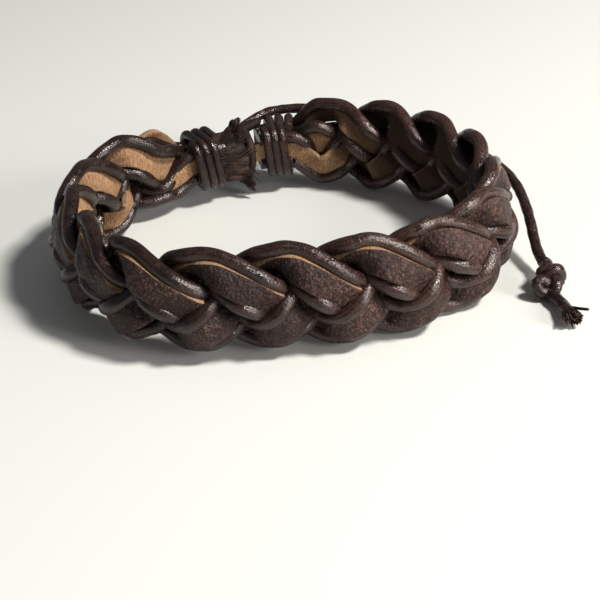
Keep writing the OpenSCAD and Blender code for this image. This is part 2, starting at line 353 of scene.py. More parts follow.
def makeLeatherMaterial(name, look):
    # The attribute holds the distance across the strip, the depth in it (grain side plus) and the way along it
    material, tree, shader = newMaterial(name)
    straight, place = attributeOf(tree, "straight"), placeOf(tree)
    across, depth, along = partsOf(tree, straight)
    ragged = mathOf(tree, "SUBTRACT", noiseOf(tree, straight, *look["raggedNoise"]), 0.5)
    depth = plus(tree, depth, times(tree, ragged, look["raggedDepth"]))
    outside, inside = (rangeOf(tree, depth, *look[part]) for part in ("grainDepth", "suedeDepth"))
    fine = noiseOf(tree, place, *look["fineNoise"])
    creases, nap = (noiseOf(tree, straight, *look[part]) for part in ("creaseNoise", "napNoise"))
    patches, suedePatches = (
        placed(tree, patchGroup, place=place, scale=look[part])["share"]
        for part in ("patches", "suedePatches")
    )

    def byPatch(shares):
        return rangeOf(tree, patches, 0.0, 1.0, *shares)

    height = summed(
        tree,
        (mathOf(tree, "SUBTRACT", 1.0, cellsOf(tree, place, look["cells"])), look["pebbleHeight"]),
        (fine, look["fineHeight"]),
        (creases, look["creaseHeight"]),
    )
    grain = mixOf(tree, patches, look["dark"], look["light"])
    # painted light: the grain gets lighter and redder towards the right, partly following random patches
    paintedRightLight = times(tree, rightwards(tree, place, paintedRightLightReach), byPatch(look["paintedRightLightPatches"]))
    grain = mixOf(tree, times(tree, paintedRightLight, look["paintedRightLightShare"]), grain, look["paintedLightReddish"])
    # painted shade in the pits of the grain
    pitShade = rangeOf(tree, height, *look["pitShade"], 0.0, look["pitShadeShare"])
    grain = mixOf(tree, pitShade, grain, look["dark"])
    # painted glints: light specks over the grain, in random patches
    paintedGlints = times(tree, rangeOf(tree, fine, *look["paintedGlints"]), byPatch(look["paintedGlintPatches"]))
    grain = mixOf(tree, paintedGlints, grain, look["paintedGlint"])
    rim = rangeOf(tree, mathOf(tree, "ABSOLUTE", across), *look["rim"])
    rim = times(tree, rim, rangeOf(tree, creases, *look["rimCreases"]))
    grain = mixOf(tree, times(tree, rim, look["rimShare"]), grain, look["worn"])

    suede = mixOf(tree, rangeOf(tree, nap, *look["suedeNap"]), look["suedeDark"], look["suede"])
    darker = rangeOf(tree, suedePatches, 0.0, 1.0, look["suedePatchShare"], 0.0)
    suede = mixOf(tree, darker, suede, look["suedeDark"])
    # darker suede towards the right: partly dye, partly painted shade on the shaded inner face
    stainedAndShadedSuede = rightwards(tree, place, look["stainedAndShadedSuedeReach"])
    suede = mixOf(tree, times(tree, stainedAndShadedSuede, look["stainedAndShadedSuedeShare"]), suede, look["stainedAndShadedSuede"])
    # painted light: the suede is lighter near the cut end, where the binding casts shade
    suede = mixOf(tree, rangeOf(tree, along, *look["paintedLightCutEndReach"]), suede, look["paintedLightCutEnd"])
    edge = mixOf(tree, rangeOf(tree, nap, *look["edgeNap"]), look["suedeDark"], look["edge"])
    colour = mixOf(tree, outside, mixOf(tree, inside, edge, suede), grain)
    tree.links.new(colour, shader.inputs["Base Color"])

    worn = rangeOf(tree, creases, *look["wornCreases"], look["dull"], look["rough"])
    rough = rangeOf(tree, outside, 0.0, 1.0, look["suedeRough"], worn)
    tree.links.new(rough, shader.inputs["Roughness"])
    shader.inputs["Specular IOR Level"].default_value = look["gloss"]
    relief = times(tree, height, outside)
    napped = times(tree, mathOf(tree, "SUBTRACT", 1.0, outside), times(tree, nap, look["napHeight"]))
    bumpInto(tree, shader, plus(tree, relief, napped), look["relief"] * mm)
    return material


leatherMaterial = makeLeatherMaterial("braidLeather", leatherLook)

frayLook = dict(
    cordLook,
    dark=(0.022, 0.013, 0.0105, 1),
    light=(0.085, 0.052, 0.038, 1),
    # painted shade in the cotton's grooves
    grooveShade=(0.012, 0.007, 0.006, 1),
    weave=0.0,
    rough=0.55,
    dull=0.75,
    gloss=0.35,
    relief=0.05,
    paintedRightLightShare=0.0,
)
frayMaterial = makeCordMaterial("frayedCotton", frayLook)
print("materials made")

# Helpers for meshes

def cosOf(degrees):
    return np.cos(np.radians(degrees))


def sinOf(degrees):
    return np.sin(np.radians(degrees))


def unitRows(rows):
    return rows / np.linalg.norm(rows, axis=-1, keepdims=True)


def bell(x, middle, reach, power=2):
    # 1 at the middle, and almost nothing beyond twice the reach
    return np.exp(-(((x - middle) / reach) ** power))


def eased(x):
    t = np.clip(x, 0, 1)
    return t * t * (3 - 2 * t)


def headingOf(line):
    ahead = np.empty_like(line)
    ahead[1:-1] = line[2:] - line[:-2]
    ahead[0], ahead[-1] = line[1] - line[0], line[-1] - line[-2]
    return unitRows(ahead)


def lengthsOf(line):
    steps = np.linalg.norm(np.diff(line, axis=0), axis=1)
    return np.concatenate([[0.0], np.cumsum(steps)])


def raised(flat, high):
    return np.concatenate([flat, high[..., None]], -1)


def between(a, b, c, d, t):
    # A place on the way from b to c along the smooth line through all four
    return (2 * b + (c - a) * t + (2 * a - 5 * b + 4 * c - d) * t**2 + (3 * b - a - 3 * c + d) * t**3) / 2


def smoothLine(points, steps):
    points = np.asarray(points, float)
    held = np.vstack([2 * points[0] - points[1], points, 2 * points[-1] - points[-2]])
    t = (np.arange(steps) / steps)[:, None]
    spans = [between(*held[i : i + 4], t) for i in range(len(held) - 3)]
    return np.vstack(spans + [points[-1:]])


def roundAt(values, angle):
    # A value on the smooth closed line through values that stand evenly round a circle
    place = np.mod(angle, 360) / (360 / len(values))
    i = np.floor(place).astype(int)
    return between(*(values[(i + k) % len(values)] for k in (-1, 0, 1, 2)), place - i)


class Skins:
    # Gathers rings of points into one mesh with closed ends
    def __init__(self):
        self.points, self.straight, self.faces, self.count = [], [], [], 0

    def add(self, loops, straight):
        rings, sides = loops.shape[:2]
        index = self.count + np.arange(rings * sides).reshape(rings, sides)
        after = np.roll(index, -1, axis=1)
        quads = np.stack([index[:-1], after[:-1], after[1:], index[1:]], -1).reshape(-1, 4)
        self.faces += quads.tolist()
        self.faces += [index[0][::-1].tolist(), index[-1].tolist()]
        self.points.append(loops.reshape(-1, 3))
        self.straight.append(straight.reshape(-1, 3))
        self.count += rings * sides

    def build(self, name, material, slot, *nodes):
        points, straight = np.concatenate(self.points), np.concatenate(self.straight)
        mesh = bpy.data.meshes.new(name)
        mesh.from_pydata((points * mm).tolist(), [], self.faces)
        held = mesh.attributes.new("straight", "FLOAT_VECTOR", "POINT")
        held.data.foreach_set("vector", straight.astype(np.float32).ravel())
        # The walls are smooth and the end caps flat
        mesh.polygons.foreach_set("use_smooth", [len(face) == 4 for face in self.faces])
        mesh.materials.append(material)
        mesh.update()
        piece = bpy.data.objects.new(name, mesh)
        bpy.context.scene.collection.objects.link(piece)
        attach(piece, "root")
        if nodes:
            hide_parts(*nodes)
        return piece


def roundTube(skins, line, sideways, radii, sides, spread=None):
    # The spread, of the angle round the tube and the way along it, is how much further out the skin lies
    ahead, sideways = headingOf(line), np.asarray(sideways, float)
    aside = unitRows(sideways - (sideways * ahead).sum(-1, keepdims=True) * ahead)
    other = np.cross(ahead, aside)
    angle = np.arange(sides) * 2 * np.pi / sides
    radii = np.broadcast_to(np.asarray(radii, float), (len(line),))[:, None]
    if spread is not None:
        radii = radii * (1 + spread(angle[None, :], lengthsOf(line)[:, None]))
    x, y = radii * np.cos(angle), radii * np.sin(angle)
    loops = line[:, None] + x[..., None] * aside[:, None] + y[..., None] * other[:, None]
    along = np.broadcast_to(lengthsOf(line)[:, None], x.shape)
    skins.add(loops, np.stack([x, y, along], -1))


def waves(spread, angle, along, rows):
    # A row holds a wave's share, how often it comes round the tube, its radians to a millimetre and its start
    for share, around, rate, start in rows:
        spread = spread + share * np.sin(around * angle + rate * along + start)
    return spread


# The band's middle line and the courses of its strands
band = {
    "outline": [32.8, 28.5, 26.0, 25.2, 24.8, 27.3, 30.5, 32.2, 34.0, 31.5, 33.9, 35.1],  # each 30 degrees
    "shift": (-1.379, 2.798, -0.077),  # from the outline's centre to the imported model's frame
    "firstWrapAngle": 88.5,
    "lastWrapAngle": 119.5,
    "firstCrestAngle": 63.5,
    "lastCrestAngle": 134.0,
    "plaitTurns": 5,
    "startTurn": 60,  # degrees of a strand's turn inside the first binding
    "stitchDrift": 1.0,
    "driftFar": 30.0,
    "middle": 8.2,
    "wrapMiddle": 7.4,
    "layerStep": 2.2,
    "ease": 1.5,
    "boundHalf": 2.6,
    "boundWidth": 0.84,
    "pastWraps": (3.6, 3.2),  # how far the strands reach past the middles of the bindings
    "stripWide": 3.0,
    "strandGap": 0.1,
    "cordWide": 1.55,
    "headingStep": 0.8,
    "climbStep": 0.2,
    "lobeReach": 7.45,
    "pressMiddle": 50.0,
    "pressReach": 14.0,
    "pressFlat": 0.28,
    "pressIn": 0.9,
    # Every 15 degrees of a strand's turn, with a value for each of the columns
    "columns": ("upperHigh", "upperDeep", "stripHigh", "stripDeep", "stripRoll", "lowerHigh", "lowerDeep"),
    "courses": [
        (3.35, 1.7, 0.0, 2.0, 5, -3.1, -0.5), (4.45, 1.6, 1.05, 2.5, -5, -1.75, 0.8),
        (5.35, 1.15, 2.1, 2.6, -15, -0.65, 2.45), (6.1, 0.6, 3.15, 2.5, -20, 0.25, 2.95),
        (6.7, 0.1, 4.05, 2.2, -24, 0.9, 2.5), (7.05, -0.2, 4.65, 1.5, -16, 1.6, 1.5),
        (7.2, -0.3, 4.8, 0.5, 0, 1.95, 0.15), (7.05, -0.3, 4.65, -0.7, 20, 1.6, -1.2),
        (6.7, -0.6, 4.05, -1.45, 28, 1.0, -2.2), (6.15, -1.2, 3.2, -1.7, 22, 0.05, -2.6),
        (5.4, -1.8, 2.15, -1.8, 15, -1.15, -2.3), (4.45, -2.2, 1.05, -1.7, 5, -2.2, -1.3),
        (3.35, -2.2, 0.0, -1.2, -5, -3.3, -0.3), (2.1, -1.3, -1.05, 0.1, 0, -4.35, 0.5),
        (0.95, 1.1, -2.1, 2.1, 4, -4.85, 1.2), (-0.15, 2.55, -3.05, 2.7, 7, -5.6, 1.5),
        (-1.15, 3.1, -3.85, 2.8, 7, -6.3, 1.2), (-2.05, 2.95, -4.4, 2.3, 4, -6.8, 0.5),
        (-2.7, 2.0, -4.6, 1.1, 0, -7.1, -0.1), (-2.9, 0.9, -4.4, -1.2, -15, -7.0, -0.4),
        (-2.3, 0.1, -3.9, -2.0, -28, -6.6, -0.9), (-1.0, -0.8, -3.05, -1.9, -22, -6.0, -1.2),
        (0.7, -0.6, -2.1, -1.3, -15, -5.25, -1.1), (2.2, 1.2, -1.05, 0.5, -5, -4.35, -0.5),
    ],
    # How far back the stitches sit along the band: distance, shift of the upper lobes and of the lower lobes
    "stitchShift": [
        (0, 0, 0), (11, 0.4, 0), (21.6, 1.7, 0.8), (32.2, 2.1, 1.0), (43, 1.5, 1.0), (53.8, 0.1, 1.0),
        (64.8, 0, 0.6), (75.8, 0, 0), (86.8, 1.1, 1.1), (97.7, 1.2, 2.9), (108.6, 0.9, 4.4),
        (119.4, 0, 4.4), (130.1, 0, 2.4), (140.6, 0.2, 0.8), (151.1, 0.6, 0), (161.4, 0, 0), (192, 0, 0),
    ],
    # How far the lowest points of the lower lobes are drawn up: distance, rise
    "drawnUp": [
        (0, 0), (62, 0), (74, 0.2), (90, 0.3), (102, 0.5), (114, 0.65), (124, 0.95), (134, 0.4),
        (143, 0), (192, 0),
    ],
    "nudges": [  # strand, part, middle and reach along the band, how much higher, how much further out
        (0, "upper", 175.0, 7.5, -4.2, 2.5),
        (0, "strip", 175.0, 6.0, 0.3, 0.0),
        (0, "upper", 14.0, 6.0, -0.8, 0.0),
        (2, "upper", 168.0, 4.5, -0.3, -2.7),
        (2, "lower", 167.5, 5.5, 2.6, -2.1),
    ],
}


def spotAt(angle):
    radius = roundAt(np.array(band["outline"]), angle)
    return radius[..., None] * np.stack([cosOf(angle), sinOf(angle)], -1)


# The distance along the band, clockwise from the first binding, at each degree round the loop
wayAngle = band["firstWrapAngle"] - np.arange(361.0)
wayFar = lengthsOf(spotAt(wayAngle))
loopLength = wayFar[-1]
loopShift = np.array(band["shift"])


def farTo(angle):
    return float(np.interp(360 - angle if angle > band["firstWrapAngle"] else -angle, -wayAngle, wayFar))


def middleAt(far):
    return spotAt(np.interp(np.mod(far, loopLength), wayFar, wayAngle))


def outwardAt(far):
    onward = unitRows(middleAt(far + band["headingStep"]) - middleAt(far - band["headingStep"]))
    return np.stack([-onward[..., 1], onward[..., 0]], -1)


def spotOf(far, high, deep):
    return raised(middleAt(far) + deep[..., None] * outwardAt(far), high)


def drifted(far):
    return far + band["stitchDrift"] * cosOf(360 * (far - band["driftFar"]) / loopLength)


# The plait starts and ends a twelfth of a turn before the first and the last crest
lastWrapFar = farTo(band["lastWrapAngle"])
firstCrest, lastCrest = (drifted(farTo(band[k])) for k in ("firstCrestAngle", "lastCrestAngle"))
turnLength = (lastCrest - firstCrest) / band["plaitTurns"]
plaitStart, plaitEnd = firstCrest - turnLength / 12, lastCrest - turnLength / 12
wrapOut, wrapIn = drifted(band["boundHalf"]), drifted(lastWrapFar - band["boundHalf"])
firstEnd, lastEnd = -band["pastWraps"][0], lastWrapFar + band["pastWraps"][1]
print("band laid out, loop", round(loopLength, 3), "turn", round(turnLength, 3))


def softly(x):
    ease = band["ease"]
    return np.where(x < -ease, 0, np.where(x > ease, x, (x + ease) ** 2 / (4 * ease)))


def turnOf(strand, far):
    # Degrees of a strand's turn through the plait, which start and stop softly at the plait's ends
    left = plaitEnd - plaitStart
    turned = left - softly(left - softly(drifted(far) - plaitStart))
    return band["startTurn"] + 360 / turnLength * turned + 120 * strand


def freedomAt(far):
    # How free the strands are: nothing inside a binding and 1 in the plait
    spot, half = drifted(far), band["ease"] / 2
    opening = eased((spot - wrapOut) / (plaitStart - half - wrapOut))
    return opening * eased((wrapIn - spot) / (wrapIn - plaitEnd - half))


def courseAt(column, turn):
    return roundAt(np.array(band["courses"])[:, band["columns"].index(column)], turn)


def tableAt(name, far, column=1):
    rows = np.array(band[name])
    return np.interp(far, rows[:, 0], rows[:, column])


def shifted(far, high):
    # The upper and the lower lobes sit a little further back along the band than an even plait's
    share = np.clip((high - band["middle"]) / band["lobeReach"] / 2 + 0.5, 0, 1)
    top, low = tableAt("stitchShift", far), tableAt("stitchShift", far, 2)
    return far - low - (top - low) * share


def drawnUp(far, high):
    low = np.clip((band["middle"] - high) / band["lobeReach"], 0, 1)
    return high + tableAt("drawnUp", far) * low


def nudged(strand, part, far):
    # Small moves of one strand in one place: how much higher and how much further out
    high, deep = 0 * far, 0 * far
    for who, what, middle, reach, up, out in band["nudges"]:
        if who == strand and what == part:
            share = bell(far, middle, reach) * freedomAt(far)
            high, deep = high + up * share, deep + out * share
    return high, deep


def pressed(far, deep):
    # The plait is pulled flatter and a little further in round the tight bend on the right
    share = bell(far, band["pressMiddle"], band["pressReach"])
    return deep * (1 - band["pressFlat"] * share) - band["pressIn"] * share


def heightOf(strand, far):
    return courseAt("stripHigh", turnOf(strand, far)) * freedomAt(far)


def layerOf(strand, far):
    # Where they are bound, the strands lie outside, in the middle and inside
    free = np.sqrt(freedomAt(far))
    return courseAt("stripDeep", turnOf(strand, far)) * free + (1 - strand) * band["layerStep"] * (1 - free)


def climbOf(strand, far):
    step = band["climbStep"]
    rise = (heightOf(strand, far + step) - heightOf(strand, far - step)) / (2 * step)
    return unitRows(np.stack([np.ones_like(rise), rise], -1))


def middleHeight(far):
    return band["wrapMiddle"] + (band["middle"] - band["wrapMiddle"]) * freedomAt(far)


def widthKept(far):
    return band["boundWidth"] + (1 - band["boundWidth"]) * freedomAt(far)


def stripPoint(strand, far, off):
    roll = courseAt("stripRoll", turnOf(strand, far)) * freedomAt(far) ** 2
    climb, across = climbOf(strand, far), off * cosOf(roll)
    up, out = nudged(strand, "strip", far)
    high = drawnUp(far, middleHeight(far) + heightOf(strand, far) + across * climb[..., 0] + up)
    along = shifted(far - climb[..., 1] * across, high)
    return spotOf(along, high, pressed(far, layerOf(strand, far) + off * sinOf(roll) + out))


def cordPoint(strand, side, far):
    part = "upper" if side > 0 else "lower"
    free, turn, climb = freedomAt(far), turnOf(strand, far), climbOf(strand, far)
    bound = 1 - free
    off = side * (band["stripWide"] * widthKept(far) / 2 + band["strandGap"] + band["cordWide"] / 2)
    up, out = nudged(strand, part, far)
    high = middleHeight(far) + heightOf(strand, far) + up
    high = high + free * (courseAt(part + "High", turn) - courseAt("stripHigh", turn))
    high = drawnUp(far, high + bound * off * climb[..., 0])
    deep = layerOf(strand, far) + free * (courseAt(part + "Deep", turn) - courseAt("stripDeep", turn)) + out
    return spotOf(shifted(far - bound * climb[..., 1] * off, high), high, pressed(far, deep))


# The pull cord and its knot
pullCord = {
    "radius": 0.8,
    "knotRadius": 0.9,
    "sides": 24,
    "route": [
        (-11.1, 27.6, 9.6), (-9.5, 28.3, 9.7), (-7, 29.8, 10.2), (-4.6, 31.6, 11), (-2, 32.9, 11.6),
        (1, 33.2, 11.8), (4, 33, 11.8), (7.6, 32.2, 11.6), (11, 31.1, 11.3), (14.4, 29.7, 10.9),
        (17.8, 27.9, 10.5), (21, 25.8, 10.2), (24, 23.3, 9.8), (26.8, 20.6, 9.5), (29.3, 17.7, 9.2),
        (31.7, 14.4, 8.8), (33.8, 10.7, 8.4), (35.4, 6.8, 7.9), (36.3, 2.7, 7.2), (36.7, -1.4, 6.1),
        (36.8, -5, 4.9), (36.8, -8, 3.6), (36.9, -10.6, 2.7), (37.2, -12.8, 2.2),
    ],
    "routeSteps": 8,  # points to a row
    "knotSteps": 6,
    "knotMiddle": (37.0, -18.6, 2.2),
    "knotScale": 0.62,
    "knotDepth": 0.8,
    "knotLean": 45,  # degrees that the knot's face leans back
    "knotTurn": (275, -36, -15.0),  # degrees of the knot's curve: from, to, step
    "knotAside": (0.35, 0.2, 0.9),
    "entry": [(37.5, -14.3, 2.5), (37.1, -15.8, 2.75)],
    "leaving": [(-1.95, -0.75, 0.75), (-1.5, -1.85, 0.5), (-0.3, -2.35, 0.3)],
    "tail": [(37.3, -22.0, 0.95), (37.8, -23.8, 0.95), (38.0, -25.6, 1.05), (38.1, -27.0, 1.2)],
    "tailFuller": (0.12, -24.5, 3),  # share, from where, over what length
    "floorGap": 0.03,
    "plies": 5,
    "plyTwist": 1.1,  # radians to a millimetre
    "plyDeep": 0.09,
    "plyMiddle": 0.06,
    "swells": [(0.02, 0, 1.3, 0), (0.015, 0, 2.9, 1)],  # waves of thick and thin places
}
brush = {
    "seed": 3,
    "fibres": 150,
    "rings": 8,
    "sides": 6,
    "reach": (1.4, 2.2),
    "rooted": 0.7,  # how far back in the cord the fibres start
    "wide": 0.78,
    "fan": 0.55,
    "flat": 0.75,
    "bend": 0.12,
    "lowest": 0.14,
    "radius": (0.10, 0.17),
    "tip": 0.8,
    "stray": {  # one thicker fibre to the side: its way aside and over starts somewhere and grows
        "rings": 10,
        "sides": 8,
        "radius": 0.26,
        "length": 2.2,
        "rooted": 1.0,
        "aside": (0.5, 1.9),
        "over": (0.5, 0.35),
    },
}


def plied(angle, along):
    # The strands twisted round each other in the cord, and its small thick and thin places
    plies = pullCord["plies"]
    twist = np.abs(np.sin(plies / 2 * (angle + pullCord["plyTwist"] / plies * 2 * along)))
    return waves(pullCord["plyDeep"] * twist - pullCord["plyMiddle"], angle, along, pullCord["swells"])


def knotLine():
    # An overhand knot: in at the top, round the bottom and the right, and out down the left side
    t = np.arange(*pullCord["knotTurn"])
    scale, lean = pullCord["knotScale"], math.radians(pullCord["knotLean"])
    face = np.stack([sinOf(t) + 2 * sinOf(2 * t), cosOf(t) - 2 * cosOf(2 * t)], -1) * scale
    rows = np.column_stack([face, -pullCord["knotDepth"] * sinOf(3 * t)])
    rows = np.vstack([rows, pullCord["leaving"]])
    axes = np.array([(1, 0, 0), (0, math.sin(lean), math.cos(lean)), (0, -math.cos(lean), math.sin(lean))])
    tied = rows @ axes + pullCord["knotMiddle"]
    line = np.vstack([pullCord["route"][-1:], pullCord["entry"], tied, pullCord["tail"]])
    line[:, 2] = np.maximum(line[:, 2], pullCord["knotRadius"] + pullCord["floorGap"])
    return smoothLine(line, pullCord["knotSteps"])


def makeBrushEnd(line):
    rng = np.random.default_rng(brush["seed"])
    skins = Skins()
    start, ahead = line[-1], unitRows(line[-1] - line[-6])
    aside = unitRows(np.cross(ahead, upward))
    over = np.cross(aside, ahead)
    t = np.linspace(0, 1, brush["rings"])[:, None]
    thinned = np.linspace(1.0, brush["tip"], brush["rings"])
    for _ in range(brush["fibres"]):
        angle, share = rng.uniform(0, 2 * np.pi), math.sqrt(rng.uniform(0, 1))
        out = (aside * math.cos(angle) + over * math.sin(angle) * brush["flat"]) * share
        way = t * (rng.uniform(*brush["reach"]) + brush["rooted"]) - brush["rooted"]
        spots = start + ahead * way + out * (brush["wide"] + brush["fan"] * t**0.8)
        spots = spots + rng.normal(0, brush["bend"], 3) * t**2
        spots[:, 2] = np.maximum(spots[:, 2], brush["lowest"])
        roundTube(skins, spots, over, rng.uniform(*brush["radius"]) * thinned, brush["sides"])
    stray = brush["stray"]
    t = np.linspace(0, 1, stray["rings"])[:, None]
    (asideFrom, asideBy), (overFrom, overBy) = stray["aside"], stray["over"]
    spots = start + ahead * (t * stray["length"] - stray["rooted"])
    spots = spots - aside * (asideFrom + asideBy * t**1.3) + over * (overFrom + overBy * t)
    radii = stray["radius"] * np.linspace(1, brush["tip"], stray["rings"])
    roundTube(skins, spots, over, radii, stray["sides"])
    return skins.build("pullCordBrush", frayMaterial, "pull_cord")


def makePullCord():
    route = smoothLine(pullCord["route"], pullCord["routeSteps"])
    skins, knot = Skins(), Skins()
    roundTube(skins, route, upward, pullCord["radius"], pullCord["sides"], plied)
    piece = skins.build("pullCordLine", pullCordMaterial, "pull_cord", "pull_cord")
    line = knotLine()
    fuller, tailFrom, tailOver = pullCord["tailFuller"]
    radii = pullCord["knotRadius"] * (1 + fuller * np.clip((tailFrom - line[:, 1]) / tailOver, 0, 1))
    roundTube(knot, line, pullCord["knotAside"], radii, pullCord["sides"], plied)
    knotPiece = knot.build("pullCordKnot", pullCordMaterial, "pull_cord", "pull_knot")
    makeBrushEnd(line)


makePullCord()
print("pull cord made")

# The plait
plait = {
    "rings": 900,
    "cordRadius": 1.06,
    "cordSides": 22,
    "fuller": 0.16,  # a cord bulges a little where it lies over the others
    "fullerTurn": {1: 236, -1: 38},
    "fullerReach": 25,
    "flat": (0.05, 0.6, 0.21),  # share, how far the flat sides sway, radians to a millimetre
    "dent": (0.018, 1.7),
    "lump": (0.014, 0.9),
    "stripHalf": 1.95,
    "stripThick": 1.12,
    "crown": 0.14,
    "rounded": 0.12,
    "grainPoints": 15,
    "suedePoints": 9,
    "edgeCut": 0.30,  # how far the raw upper edge slopes back over the strip's thickness
    "edgeHidden": 0.97,
    "hiddenTurn": 242,  # here a strip turns under, and its edge is dyed dark
    "hiddenReach": 58,
    "hiddenFrom": 44.0,  # distance where that begins
    "hiddenOver": 16,
    "hiddenDye": 0.9,
    "thinTurn": 6,  # here the raw edge is narrow
    "thinReach": 27,
    "thinShare": 0.75,
    "thinDye": 0.15,
    "dyedMiddle": 67.0,  # round here, at the front right, the edges are dyed as dark as the grain
    "dyedReach": 9.5,
    "suedeBelow": -0.35,  # depth under which nothing is dyed
    "cutWaves": (0.22, 0.9, 0.37),  # share, radians to a millimetre of both waves
    "ripple": (0.05, 2.3, 1.9, 0.8),  # share, radians to a millimetre along, across and aslant
    "outNudge": 0.12,
    "stripEnds": (0.0, 0.0, 1.0),  # how far a strip's cut end sticks out past its cords'
}


def makeBraidCord(name, strand, side, node):
    far = np.linspace(firstEnd, lastEnd, plait["rings"] + 1)
    line = cordPoint(strand, side, far) + loopShift
    sideways = raised(outwardAt(far), np.zeros(len(far)))
    turn = np.mod(turnOf(strand, far), 360)
    fuller = bell(turn, plait["fullerTurn"][side], plait["fullerReach"]) * freedomAt(far)

    def uneven(angle, along):
        # Slightly flat and dented where the cord is pulled round its neighbours
        (flat, sway, rate), (dent, dentRate), (lump, lumpRate) = (plait[k] for k in ("flat", "dent", "lump"))
        spread = flat * np.cos(2 * angle + sway * np.sin(rate * along + strand))
        rows = [(dent, 0, dentRate, 3 * strand), (lump, 3, lumpRate, side)]
        return waves(spread, angle, along, rows)

    skins = Skins()
    radii = plait["cordRadius"] * (1 + plait["fuller"] * fuller)
    roundTube(skins, line, sideways, radii, plait["cordSides"], uneven)
    skins.build(name, cordMaterial, "braid_cord", node)


def stripSection(cut):
    # Rows of (off, depth, depth for the colour) round a strip: the cut upper edge slopes so that it shows
    half, thick, crown = plait["stripHalf"], plait["stripThick"] / 2, plait["crown"]
    top = half - cut
    points = [(top, thick - 0.03, 0.30)]
    for t in np.linspace(1, -1, plait["grainPoints"])[1:]:
        off = top * t if t > 0 else half * t * 0.97
        points.append((off, thick + crown * (1 - t * t) - plait["rounded"] * abs(t) ** 8, thick))
    points += [(-half, thick * 0.62, thick), (-half - 0.02, 0.1, thick), (-half, -thick * 0.5, 0.1)]
    points += [(-half + 0.03, -thick * 0.92, -thick)]
    points += [(half * t, -thick, -thick) for t in np.linspace(-0.95, 0.95, plait["suedePoints"])]
    points += [(half + 0.01, -thick * 0.90, -0.30), (half + 0.03, -thick * 0.6, 0.0)]
    points += [(half - cut * 0.45, thick * 0.30, 0.0), (top + 0.04, thick * 0.86, 0.12)]
    return np.array(points)


def rawEdge(strand, far):
    # How dark the raw edge is dyed, and how narrow it is where the strip comes up again
    turn = np.mod(turnOf(strand, far), 360)
    dark = bell(turn, plait["hiddenTurn"], plait["hiddenReach"], 4)
    dark = dark * eased((far - plait["hiddenFrom"]) / plait["hiddenOver"])
    dark = np.maximum(dark, bell(far, plait["dyedMiddle"], plait["dyedReach"], 4))
    return dark, bell(np.mod(turn + 180, 360), 180 + plait["thinTurn"], plait["thinReach"])


def makeStrip(name, strand, node):
    far = np.linspace(firstEnd - plait["stripEnds"][strand], lastEnd, plait["rings"] + 1)
    middles = stripPoint(strand, far, np.zeros_like(far))
    half = band["stripWide"] * widthKept(far) / 2
    across = unitRows(stripPoint(strand, far, half) - stripPoint(strand, far, -half))
    outside = -unitRows(np.cross(headingOf(middles), across))
    along = lengthsOf(middles)
    dark, thin = rawEdge(strand, far)
    share, rate, slowRate = plait["cutWaves"]
    cut = plait["edgeCut"] * (1 - plait["edgeHidden"] * dark)
    cut = cut * (1 - plait["thinShare"] * thin)
    cut = cut * (1 + share * np.sin(rate * along + 2 * strand) * np.sin(slowRate * along + 1))
    wide, full = stripSection(0.0), stripSection(1.0)
    section = wide + (full - wide) * cut[:, None, None]
    share, rate, offRate, alongRate = plait["ripple"]
    ripple = share * np.sin(rate * along + strand)[:, None]
    ripple = ripple * np.sin(section[..., 0] * offRate + alongRate * along[:, None])
    off = section[..., 0] * widthKept(far)[:, None]
    deep = section[..., 1] + plait["outNudge"] + ripple * (section[..., 1] > 0)
    loops = middles[:, None] + off[..., None] * across[:, None] + deep[..., None] * outside[:, None] + loopShift
    dye = (plait["hiddenDye"] * dark + plait["thinDye"] * thin)[:, None]
    dyed = section[..., 2] + dye * (section[..., 2] > plait["suedeBelow"])
    skins = Skins()
    skins.add(loops, np.stack([off, dyed, np.broadcast_to(along[:, None], off.shape)], -1))
    skins.build(name, leatherMaterial, "leather", node)


for strand in range(3):
    makeStrip(f"leatherStrip{strand + 1}", strand, f"leather_strip_{strand + 1}")
    makeBraidCord(f"upperCord{strand + 1}", strand, 1, f"upper_cord_{strand + 1}")
    makeBraidCord(f"lowerCord{strand + 1}", strand, -1, f"lower_cord_{strand + 1}")
print("plait made")

# The bindings
binding = {
    "cordWide": 1.5,
    "turns": 3,
    "pitch": 1.55,
    "gap": 0.2,
    "lean": (0.06, 0.12),
    "cornerPoints": 4,  # three spans round a corner and one on to the next
    "corners": [(1, -1), (-1, -1), (-1, 1), (1, 1)],  # signs of height and depth
    "steps": 8,  # to a span
    "sides": 20,
    "fullRadius": 0.79,
}


def wrapPoint(wrapFar, lean, i):
    # The bindings wind round a rectangle with round corners that holds the three layers of strands
    out = band["cordWide"] / 2 + binding["gap"] + binding["cordWide"] / 2
    highCorner = band["stripWide"] * band["boundWidth"] / 2 + band["strandGap"] + band["cordWide"] / 2
    signs, count = np.array(binding["corners"]), binding["cornerPoints"]
    k = np.floor(i / count).astype(int)
    share = i - count * k

    def corner(k, share):
        angle = 90 * k + 90 / (count - 1) * share
        high, deep = np.moveaxis(signs[k % 4], -1, 0)
        return high * highCorner + out * cosOf(angle), deep * band["layerStep"] - out * sinOf(angle)

    high, deep = corner(k, np.minimum(share, count - 1))
    nextHigh, nextDeep = corner(k + 1, 0 * share)
    rest = np.clip(share - (count - 1), 0, 1)
    high, deep = high + rest * (nextHigh - high), deep + rest * (nextDeep - deep)
    far = wrapFar + binding["pitch"] * (i / (4 * count) - binding["turns"] / 2) - lean * high
    return far, band["wrapMiddle"] + high, deep


def makeWrap(name, wrapFar, lean, node):
    spans = 4 * binding["cornerPoints"] * binding["turns"]
    far, high, deep = wrapPoint(wrapFar, lean, np.linspace(0, spans, spans * binding["steps"] + 1))
    line = spotOf(far, high, deep) + loopShift
    out = outwardAt(np.full_like(far, wrapFar))
    skins = Skins()
    sideways = raised(out * deep[:, None], high - band["wrapMiddle"])
    roundTube(skins, line, sideways, binding["fullRadius"], binding["sides"])
    skins.build(name, cordMaterial, "wrap_cord", node)


makeWrap("rightBinding", 0.0, binding["lean"][0], "right_wrap")
makeWrap("leftBinding", lastWrapFar, binding["lean"][1], "left_wrap")

